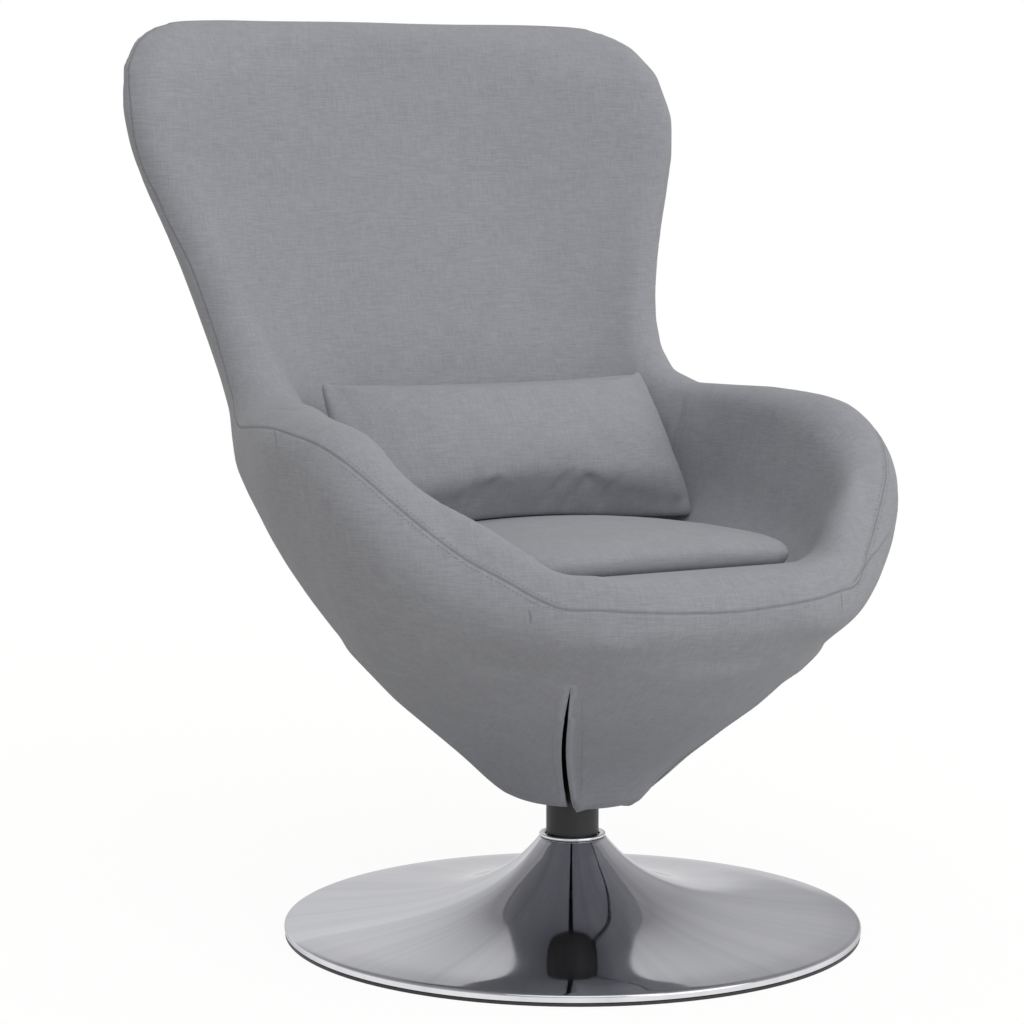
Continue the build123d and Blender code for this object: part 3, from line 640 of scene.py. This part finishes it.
# ---------------------------------------------------------------- loose cushions
# short slanted wrinkles in the pillow's lower half, where its own weight folds it
WRINKLES = [
    [(-46, 86, 476), (-54, 87, 454), (-60, 88, 436)],
    [(-68, 87, 478), (-72, 88, 462), (-78, 88, 446)],
    [(44, 86, 484), (30, 87, 452), (22, 92, 424)],
    [(70, 86, 470), (58, 88, 444), (53, 93, 420)],
    [(108, 87, 466), (96, 89, 440), (92, 95, 416)],
    [(172, 95, 456), (177, 94, 436), (181, 91, 418)],
    [(188, 91, 415), (196, 93, 423), (205, 98, 433)],
    [(-160, 100, 462), (-158, 96, 444), (-163, 95, 424)],
]
WRINKLE_DEPTH, WRINKLE_HALF, WRINKLE_RISE = 2.2, 5.0, 0.99   # mm
SMOOTHED_OFF = 1.5     # mm that the smoothing takes off a cushion, and that it gets back
GAP = 1.0              # mm between a cushion and what it leans on
NEIGHBOUR_REACH = 25   # mm within which a cushion looks for what it leans on


def kept_clear(piece, others):
    """Moves the points of a soft piece that come too close to its neighbours back off them."""
    points = points_of(piece.data)
    for other in others:
        mesh = other.data
        near = BVHTree.FromPolygons([v.co for v in mesh.vertices], [f.vertices for f in mesh.polygons])
        for i, point in enumerate(points):
            place, normal = near.find_nearest(Vector(point), NEIGHBOUR_REACH * MM)[:2]
            if place is None:
                continue
            gap = (Vector(point) - place).dot(normal)
            if gap < GAP * MM:
                points[i] += np.array(normal) * (GAP * MM - gap)
    set_points(piece.data, points)


def tucked_under(mesh):
    """Rolls the pillow's front in towards its lower edge, which meets the seat pad, and spreads its ends."""
    points = points_of(mesh)
    x, y, z = (points / MM).T
    points[:, 0] += 10 * ramp(x, 110, 210) * ramp(z, 480, 420) * MM
    points[:, 0] -= 6 * ramp(-x, 120, 210) * MM
    points[:, 1] += 15 * ramp(z, 472, 414) * ramp(y, 158, 108) * MM
    points[:, 2] -= 5 * ramp(z, 445, 417) * MM
    set_points(mesh, points)


def stuffed(name, solid, body, cloth, smooth, reach_mm, others, wrinkles=()):
    """A loose cushion: a copy of its CAD solid, blown up by its stuffing until it fills its place."""
    piece = loose_object(solid_of(solid), name)
    remeshed(piece, CUSHION_SQUARES)
    bm = opened(piece)
    relax(bm, smooth)
    bm.normal_update()
    for v in bm.verts:
        v.co += v.normal * SMOOTHED_OFF * MM
    put_back(bm, piece)
    inflated(piece, reach_mm)
    if wrinkles:
        tucked_under(piece.data)
        bm = opened(piece)
        bm.normal_update()
        skin = BVHTree.FromBMesh(bm)
        rows = [fading_row(laid_on(smooth_line(line, FOLD_STEP), skin)) for line in wrinkles]
        pressed_in(bm, rows, WRINKLE_DEPTH, WRINKLE_HALF, WRINKLE_RISE, reaches=())
        put_back(bm, piece)
    kept_clear(piece, others)
    rounding = piece.modifiers.new("Rounding", "SUBSURF")
    rounding.levels = rounding.render_levels = 1
    applied(piece)
    finished(piece, cloth, body, "grey_fabric", solid)
    return piece


# ---------------------------------------------------------------- foot and column
# radius and height: the spun foot's outside from its rim to its neck, then its inside back to the rim, and
# the bright ring that lies on its neck
TRUMPET = [
    (299.0, 3.4), (300.0, 4.2), (300.0, 8.6), (299.3, 10.5), (297.0, 11.6), (293.0, 12.2), (282.0, 13.9),
    (268.0, 15.7), (240.0, 18.3), (210.0, 21.5), (180.0, 25.6), (150.0, 31.1), (125.0, 37.8), (100.0, 47.0),
    (80.0, 57.0), (65.0, 67.3), (53.2, 77.0), (47.6, 82.8), (43.4, 87.3), (39.4, 91.8), (36.9, 94.8),
    (35.3, 97.0), (33.8, 98.0), (27.8, 98.0),
    (27.5, 95.5), (34.0, 88.5), (50.0, 74.0), (78.0, 54.5), (123.0, 35.3), (178.0, 23.1), (240.0, 15.8),
    (290.0, 9.8), (297.0, 8.4), (297.6, 3.6),
]
NECK_RING = [
    (28.0, 98.1), (33.0, 98.1), (34.2, 98.5), (34.5, 99.4), (34.5, 100.7), (34.2, 101.6), (33.0, 102.0),
    (28.0, 102.0),
]
SPIN_STEPS = 96


def spun(profile, name, material, solid):
    """A closed piece of the foot, spun from a closed profile of radius and height round the column's axis."""
    bm = bmesh.new()
    corners = [bm.verts.new(Vector((r, 0, z)) * MM) for r, z in profile]
    edges = [bm.edges.new(pair) for pair in zip(corners, corners[1:] + corners[:1])]
    bmesh.ops.spin(bm, geom=corners + edges, axis=(0, 0, 1), cent=(0, 0, 0), angle=math.tau, steps=SPIN_STEPS,
                   use_merge=True, use_duplicate=False)
    bmesh.ops.remove_doubles(bm, verts=bm.verts, dist=0.005 * MM)
    bmesh.ops.recalc_face_normals(bm, faces=bm.faces)
    piece = loose_object(bm, name)
    rounding = piece.modifiers.new("Rounding", "SUBSURF")
    rounding.levels = rounding.render_levels = 2
    finished(piece, material, "base", "chrome", solid)


# ---------------------------------------------------------------- studio
# soft lamps: bearing from the chair's front and height above the floor in degrees, strength and colour
LAMPS = {"front_key": (18, 22, 0.4, "#F4F8FF"), "upper_key": (-24, 50, 0.55, "#F4F8FF")}
LAMP_SPREAD = math.radians(50)
FLOOR_GLOW = 1.07   # with the paint's own light, this makes the floor white to the eye
FLOOR_GLOW_PART = 0.85   # the rest is paint, which takes the chair's shadow
WELL_LIT = (0.6, 0.0, 0.8)   # the even light comes mostly from this side, and hardly from the opposite one
FILL_SPAN = (-0.55, 0.42)    # how far towards that side a direction lies where the light starts and is full
FILL_LEAST, FILL_MOST = 0.03, 0.82
# X of the directions where the backdrop is white: their middle, how far they reach, and where it is all grey
WHITE_MIDDLE, WHITE_REACH, GREY_FROM = 0.24, 0.24, 0.42
# Z of the directions where the backdrop starts to change, and where it has changed, and to which colour
OVERHEAD_AND_HORIZON = ((0.28, 0.62, "#929294"), (0.13, 0.07, "#FFFFFF"))


def pale_background(tree, rays, lit, seen):
    """Shows one shader to the light that falls on the chair, and another to the eye, mirrors and glass."""
    mirrored = number_math(tree, "MAXIMUM", rays["Is Glossy Ray"], rays["Is Transmission Ray"])
    shown = number_math(tree, "MAXIMUM", rays["Is Camera Ray"], mirrored)
    return node(tree, "ShaderNodeMixShader", {0: shown, 1: lit, 2: seen})


def painted_floor():
    """A plain pale floor, which is white to the eye and to mirrors and gives the chair only paint's light."""
    bm = bmesh.new()
    bmesh.ops.create_grid(bm, x_segments=1, y_segments=1, size=30.0)
    floor = loose_object(bm, "floor")
    made = bpy.data.materials.new("painted floor")
    made.use_nodes = True
    tree = made.node_tree
    tree.nodes.clear()
    paint = node(tree, "ShaderNodeBsdfDiffuse", {"Color": shade("#DAD9D7")})
    glow = node(tree, "ShaderNodeEmission", {"Color": (1, 1, 1, 1), "Strength": FLOOR_GLOW})
    bright = node(tree, "ShaderNodeMixShader", {0: FLOOR_GLOW_PART, 1: paint, 2: glow})
    rays = node(tree, "ShaderNodeLightPath").outputs
    node(tree, "ShaderNodeOutputMaterial", {"Surface": pale_background(tree, rays, paint, bright)})
    floor.data.materials.append(made)


def surroundings():
    """The world: light that is weaker from low down on the left of the picture than from elsewhere, and a
    backdrop that is white at the horizon and behind the chair, and greyer beside it and overhead."""
    world = bpy.data.worlds.new("studio")
    scene.world = world
    world.use_nodes = True
    tree = world.node_tree
    tree.nodes.clear()
    rays = node(tree, "ShaderNodeLightPath").outputs
    direction = node(tree, "ShaderNodeTexCoord").outputs["Generated"]
    towards = node(tree, "ShaderNodeSeparateXYZ", {0: direction}).outputs
    along = vector_math(tree, "DOT_PRODUCT", direction, WELL_LIT)
    strength = mapped(tree, along, *FILL_SPAN, FILL_LEAST, FILL_MOST, interpolation_type="SMOOTHSTEP")
    fill = node(tree, "ShaderNodeBackground", {"Color": shade("#FFFCF8"), "Strength": strength})
    off = number_math(tree, "ABSOLUTE", number_math(tree, "SUBTRACT", towards["X"], WHITE_MIDDLE))
    wide = mapped(tree, off, WHITE_REACH, GREY_FROM)
    colour = blend(tree, wide, shade("#FFFFFF"), shade("#C2C2C4"))
    for start, end, tint in OVERHEAD_AND_HORIZON:
        colour = blend(tree, mapped(tree, towards["Z"], start, end), colour, shade(tint))
    backdrop = node(tree, "ShaderNodeBackground", {"Color": colour, "Strength": 1.0})
    node(tree, "ShaderNodeOutputWorld", {"Surface": pale_background(tree, rays, fill, backdrop)})


def soft_lamps():
    """The lamps in front of the chair."""
    for name, (bearing, height, strength, tint) in LAMPS.items():
        light = bpy.data.lights.new(name, "SUN")
        light.energy = strength
        light.color = shade(tint)[:3]
        light.angle = LAMP_SPREAD
        lamp = bpy.data.objects.new(name, light)
        lamp.rotation_mode = "QUATERNION"
        lamp.rotation_quaternion = (-direction_of(bearing, height)).to_track_quat("-Z", "Y")
        scene.collection.objects.link(lamp)


def studio():
    """The floor, the surroundings and the lamps, and a picture that shows their plain colours."""
    painted_floor()
    surroundings()
    soft_lamps()
    scene.view_settings.view_transform = "Standard"


# ---------------------------------------------------------------- the whole chair
SLOTS = {
    "grey_fabric": ["foam_shell", "cover_skirt", "seat_pad", "lumbar_pillow"],
    "chrome": ["base_dish", "collar_ring"],
    "black_plastic": ["floor_ring", "column_sleeve", "rail_caps"],
    "black_steel": ["ballast_disc", "swivel_plate", "frame_rails", "foot_flange"],
    "plated_steel": [
        "column_tube", "spindle", "spindle_washer", "retaining_clip", "lower_race", "upper_race",
        "thrust_rollers", "flange_screws", "plate_bolts", "tee_nuts",
    ],
    "nylon": ["upper_bush", "lower_bush", "roller_cage"],
    "plywood": ["seat_board"],
}


def main():
    """Makes the camera, the studio, the finishes and then the pieces that stand for CAD solids."""
    place_camera()
    studio()
    cloth = woven_cloth("woven melange upholstery", "#A0A2A8", "#92949A")
    # core-spun sewing thread, a little darker than the cloth, with a fine twist
    thread = grained("spun polyester thread", "#8A8C91", "#77797E", 0.5, 0.8, depth_mm=0.05)
    chrome = polished_chrome("polished chrome plate")
    finishes = {
        "grey_fabric": cloth,
        "chrome": chrome,
        # injection-moulded polypropylene: near black, dull, with a fine spark-eroded grain
        "black_plastic": grained("moulded black polypropylene", "#2B292A", "#383536", 1.2, 0.5,
                                 depth_mm=0.04),
        # powder coat baked on steel: black with a fine orange peel
        "black_steel": grained("black powder-coated steel", "#1F2022", "#2C2D30", 0.8, 0.45, depth_mm=0.05),
        # bright zinc on turned and pressed steel: grey metal, half dull, in faint clouds
        "plated_steel": grained("zinc-plated steel", "#A8ACB0", "#8D9196", 6.0, 0.32,
                                metallic=1.0, depth_mm=0.01),
        # turned cast nylon: milky, waxy, with slight turning marks
        "nylon": grained("cast nylon", "#D9D5C8", "#CBC6B6", 2.0, 0.4, depth_mm=0.01),
        # rotary-cut birch veneer: warm, with long soft grain lines 3 mm apart
        "plywood": grained("birch plywood", "#C9AC7F", "#A5834F", 3.0, 0.6, depth_mm=0.1, stretch=(12, 1, 1)),
    }
    for slot, names in SLOTS.items():
        for name in names:
            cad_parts[name].data.materials.clear()
            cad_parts[name].data.materials.append(finishes[slot])
    pod = pod_cover(cloth, thread)
    pad = stuffed("seat_cushion", "seat_pad", "pad", cloth, smooth=2, reach_mm=2.5, others=[pod])
    stuffed("back_pillow", "lumbar_pillow", "pillow", cloth, smooth=1, reach_mm=10.0,
            others=[pod, pad], wrinkles=WRINKLES)
    spun(TRUMPET, "foot_trumpet", chrome, "base_dish")
    spun(NECK_RING, "neck_ring", chrome, "collar_ring")


main()
bpy.context.view_layer.update()
